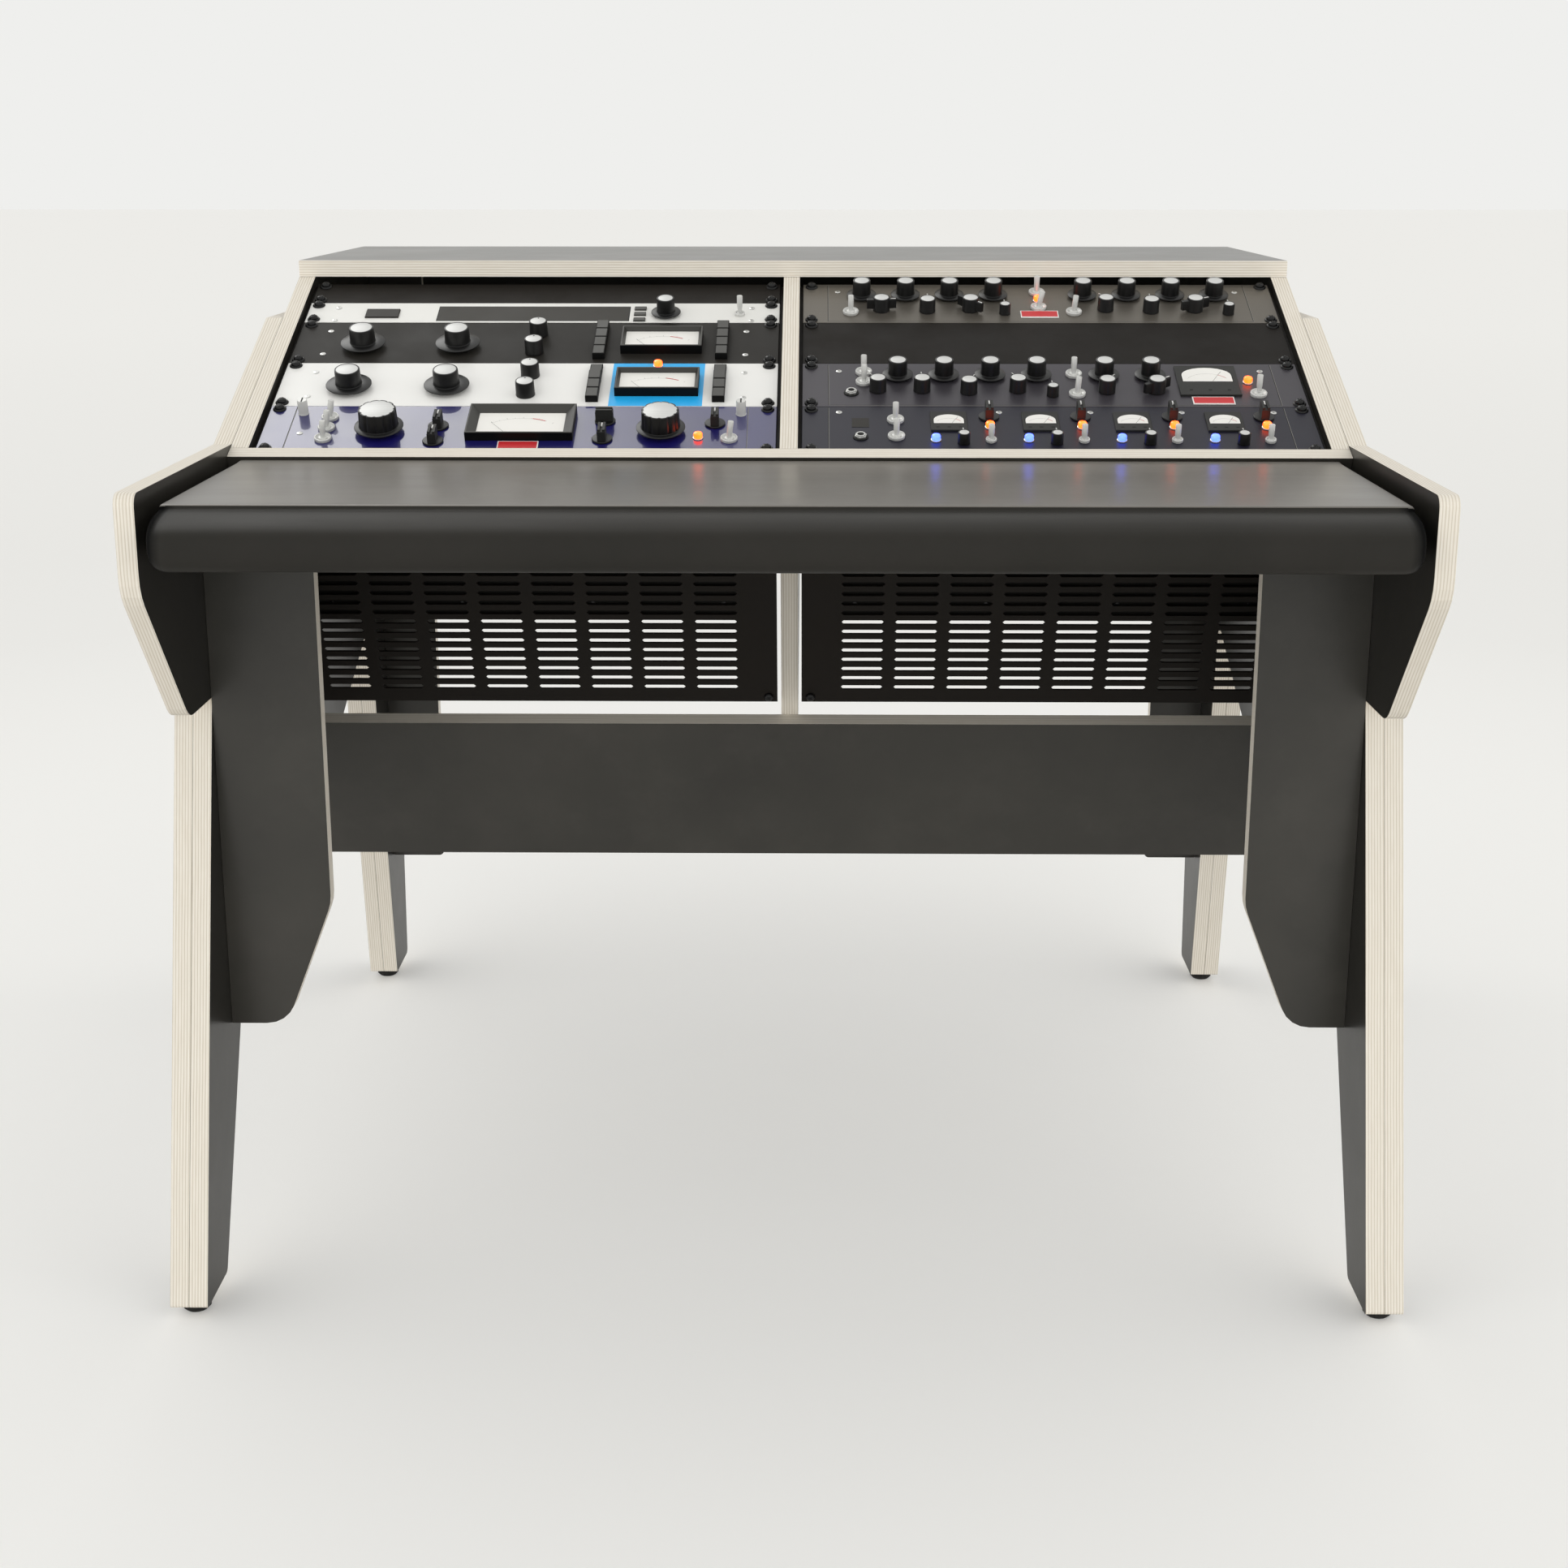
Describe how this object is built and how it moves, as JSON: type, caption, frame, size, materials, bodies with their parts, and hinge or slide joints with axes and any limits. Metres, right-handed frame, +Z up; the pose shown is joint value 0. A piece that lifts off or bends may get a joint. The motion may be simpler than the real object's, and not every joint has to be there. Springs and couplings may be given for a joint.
{
  "type": "studio desk",
  "caption": "Studio desk with a padded worktop, two sloping rack bays filled with audio gear, a rear shelf and splayed laminated plywood legs.",
  "frame": {"origin": "on the floor under the centre of the desk's bounding box", "axes": "+X to the right of the seated user, +Y away from the user towards the rear, +Z up"},
  "size_m": [1.097, 1.0522, 0.899],
  "materials": {
    "laminate": "dark warm-grey laminate on birch plywood, matt, edges left pale",
    "upholstery": "dark grey smooth upholstery over foam, soft satin",
    "black_steel": "black powder coat, satin",
    "rubber": "matt black",
    "knob_black": "black moulded plastic with a light grey cap, satin",
    "knob_navy": "black moulded plastic with a light grey cap, satin",
    "bright_metal": "bright nickel",
    "panel_white": "white paint, satin",
    "panel_black": "black paint, satin",
    "panel_silver": "pale silver anodised, satin",
    "panel_blue": "deep blue paint, glossy",
    "panel_bronze": "grey-bronze metallic, satin",
    "panel_gunmetal": "grey-violet paint, satin",
    "panel_navy": "dark navy paint, satin"
  },
  "bodies": {
    "desk": {"front_rail": "laminate", "modesty_panel": "laminate", "vent_panel_left": "black_steel", "vent_panel_right": "black_steel", "rack_strip_left_inner": "black_steel", "rack_strip_left_outer": "black_steel", "vent_strip_left": "black_steel", "rack_strip_right_inner": "black_steel", "rack_strip_right_outer": "black_steel", "vent_strip_right": "black_steel", "blank_panel_1u": "black_steel", "monitor_controller": "panel_white", "compressor_black": "panel_black", "compressor_silver": "panel_silver", "limiter_blue": "panel_blue", "equaliser": "panel_bronze", "blank_panel_2u": "black_steel", "channel_strip": "panel_gunmetal", "quad_dynamics": "panel_navy", "rack_side_left": "laminate", "rack_side_right": "laminate", "side_frame_left": "laminate", "side_frame_right": "laminate", "leg_doubler_left": "laminate", "leg_doubler_right": "laminate", "front_gusset_left": "laminate", "front_gusset_right": "laminate", "rear_gusset_left": "laminate", "rear_gusset_right": "laminate", "top_shelf": "laminate", "centre_divider": "laminate", "worktop_pad": "upholstery", "pad_board": "laminate", "foot_front_left": "rubber", "foot_front_right": "rubber", "foot_rear_left": "rubber", "foot_rear_right": "rubber"},
    "monitor_controller_knob": {"monitor_controller_knob": "knob_black"},
    "monitor_controller_toggle": {"monitor_controller_toggle": "bright_metal"},
    "compressor_black_knob_1": {"compressor_black_knob_1": "knob_black"},
    "compressor_black_knob_2": {"compressor_black_knob_2": "knob_black"},
    "compressor_silver_knob_1": {"compressor_silver_knob_1": "knob_black"},
    "compressor_silver_knob_2": {"compressor_silver_knob_2": "knob_black"},
    "limiter_blue_knob_1": {"limiter_blue_knob_1": "knob_navy"},
    "limiter_blue_knob_2": {"limiter_blue_knob_2": "knob_navy"},
    "equaliser_knob_1": {"equaliser_knob_1": "knob_black"},
    "equaliser_knob_2": {"equaliser_knob_2": "knob_black"},
    "equaliser_knob_3": {"equaliser_knob_3": "knob_black"},
    "equaliser_knob_4": {"equaliser_knob_4": "knob_black"},
    "equaliser_knob_5": {"equaliser_knob_5": "knob_black"},
    "equaliser_knob_6": {"equaliser_knob_6": "knob_black"},
    "equaliser_knob_7": {"equaliser_knob_7": "knob_black"},
    "equaliser_knob_8": {"equaliser_knob_8": "knob_black"},
    "channel_strip_knob_1": {"channel_strip_knob_1": "knob_black"},
    "channel_strip_knob_2": {"channel_strip_knob_2": "knob_black"},
    "channel_strip_knob_3": {"channel_strip_knob_3": "knob_black"},
    "channel_strip_knob_4": {"channel_strip_knob_4": "knob_black"},
    "channel_strip_knob_5": {"channel_strip_knob_5": "knob_black"},
    "channel_strip_knob_6": {"channel_strip_knob_6": "knob_black"},
    "channel_strip_toggle": {"channel_strip_toggle": "bright_metal"}
  },
  "joints": [
    {"name": "monitor_controller_knob_turn", "type": "hinge", "parent": "desk", "child": "monitor_controller_knob", "pos_m": [-0.12772, 0.09302, 0.8482], "axis": [0, -0.377, 0.9262], "range_deg": [-150, 150]},
    {"name": "monitor_controller_toggle_tilt", "type": "hinge", "parent": "desk", "child": "monitor_controller_toggle", "pos_m": [-0.05244, 0.09021, 0.85278], "axis": [1, 0, 0], "range_deg": [0, 24]},
    {"name": "compressor_black_knob_1_turn", "type": "hinge", "parent": "desk", "child": "compressor_black_knob_1", "pos_m": [-0.42597, 0.02634, 0.82106], "axis": [0, -0.377, 0.9262], "range_deg": [-150, 150]},
    {"name": "compressor_black_knob_2_turn", "type": "hinge", "parent": "desk", "child": "compressor_black_knob_2", "pos_m": [-0.33138, 0.02634, 0.82106], "axis": [0, -0.377, 0.9262], "range_deg": [-150, 150]},
    {"name": "compressor_silver_knob_1_turn", "type": "hinge", "parent": "desk", "child": "compressor_silver_knob_1", "pos_m": [-0.42597, -0.056, 0.78754], "axis": [0, -0.377, 0.9262], "range_deg": [-150, 150]},
    {"name": "compressor_silver_knob_2_turn", "type": "hinge", "parent": "desk", "child": "compressor_silver_knob_2", "pos_m": [-0.33138, -0.056, 0.78754], "axis": [0, -0.377, 0.9262], "range_deg": [-150, 150]},
    {"name": "limiter_blue_knob_1_turn", "type": "hinge", "parent": "desk", "child": "limiter_blue_knob_1", "pos_m": [-0.38447, -0.13345, 0.75601], "axis": [0, -0.377, 0.9262], "range_deg": [-150, 150]},
    {"name": "limiter_blue_knob_2_turn", "type": "hinge", "parent": "desk", "child": "limiter_blue_knob_2", "pos_m": [-0.12, -0.13508, 0.75535], "axis": [0, -0.377, 0.9262], "range_deg": [-150, 150]},
    {"name": "equaliser_knob_1_turn", "type": "hinge", "parent": "desk", "child": "equaliser_knob_1", "pos_m": [0.07222, 0.13152, 0.86388], "axis": [0, -0.377, 0.9262], "range_deg": [-150, 150]},
    {"name": "equaliser_knob_2_turn", "type": "hinge", "parent": "desk", "child": "equaliser_knob_2", "pos_m": [0.11735, 0.13152, 0.86388], "axis": [0, -0.377, 0.9262], "range_deg": [-150, 150]},
    {"name": "equaliser_knob_3_turn", "type": "hinge", "parent": "desk", "child": "equaliser_knob_3", "pos_m": [0.16247, 0.13152, 0.86388], "axis": [0, -0.377, 0.9262], "range_deg": [-150, 150]},
    {"name": "equaliser_knob_4_turn", "type": "hinge", "parent": "desk", "child": "equaliser_knob_4", "pos_m": [0.20759, 0.13152, 0.86388], "axis": [0, -0.377, 0.9262], "range_deg": [-150, 150]},
    {"name": "equaliser_knob_5_turn", "type": "hinge", "parent": "desk", "child": "equaliser_knob_5", "pos_m": [0.29953, 0.13152, 0.86388], "axis": [0, -0.377, 0.9262], "range_deg": [-150, 150]},
    {"name": "equaliser_knob_6_turn", "type": "hinge", "parent": "desk", "child": "equaliser_knob_6", "pos_m": [0.34465, 0.13152, 0.86388], "axis": [0, -0.377, 0.9262], "range_deg": [-150, 150]},
    {"name": "equaliser_knob_7_turn", "type": "hinge", "parent": "desk", "child": "equaliser_knob_7", "pos_m": [0.38978, 0.13152, 0.86388], "axis": [0, -0.377, 0.9262], "range_deg": [-150, 150]},
    {"name": "equaliser_knob_8_turn", "type": "hinge", "parent": "desk", "child": "equaliser_knob_8", "pos_m": [0.4349, 0.13152, 0.86388], "axis": [0, -0.377, 0.9262], "range_deg": [-150, 150]},
    {"name": "channel_strip_knob_1_turn", "type": "hinge", "parent": "desk", "child": "channel_strip_knob_1", "pos_m": [0.10456, -0.03193, 0.79734], "axis": [0, -0.377, 0.9262], "range_deg": [-150, 150]},
    {"name": "channel_strip_knob_2_turn", "type": "hinge", "parent": "desk", "child": "channel_strip_knob_2", "pos_m": [0.14944, -0.03193, 0.79734], "axis": [0, -0.377, 0.9262], "range_deg": [-150, 150]},
    {"name": "channel_strip_knob_3_turn", "type": "hinge", "parent": "desk", "child": "channel_strip_knob_3", "pos_m": [0.19432, -0.03193, 0.79734], "axis": [0, -0.377, 0.9262], "range_deg": [-150, 150]},
    {"name": "channel_strip_knob_4_turn", "type": "hinge", "parent": "desk", "child": "channel_strip_knob_4", "pos_m": [0.2392, -0.03193, 0.79734], "axis": [0, -0.377, 0.9262], "range_deg": [-150, 150]},
    {"name": "channel_strip_knob_5_turn", "type": "hinge", "parent": "desk", "child": "channel_strip_knob_5", "pos_m": [0.30484, -0.03193, 0.79734], "axis": [0, -0.377, 0.9262], "range_deg": [-150, 150]},
    {"name": "channel_strip_knob_6_turn", "type": "hinge", "parent": "desk", "child": "channel_strip_knob_6", "pos_m": [0.34972, -0.03193, 0.79734], "axis": [0, -0.377, 0.9262], "range_deg": [-150, 150]},
    {"name": "channel_strip_toggle_tilt", "type": "hinge", "parent": "desk", "child": "channel_strip_toggle", "pos_m": [0.44962, -0.06779, 0.78846], "axis": [1, 0, 0], "range_deg": [0, 24]}
  ]
}
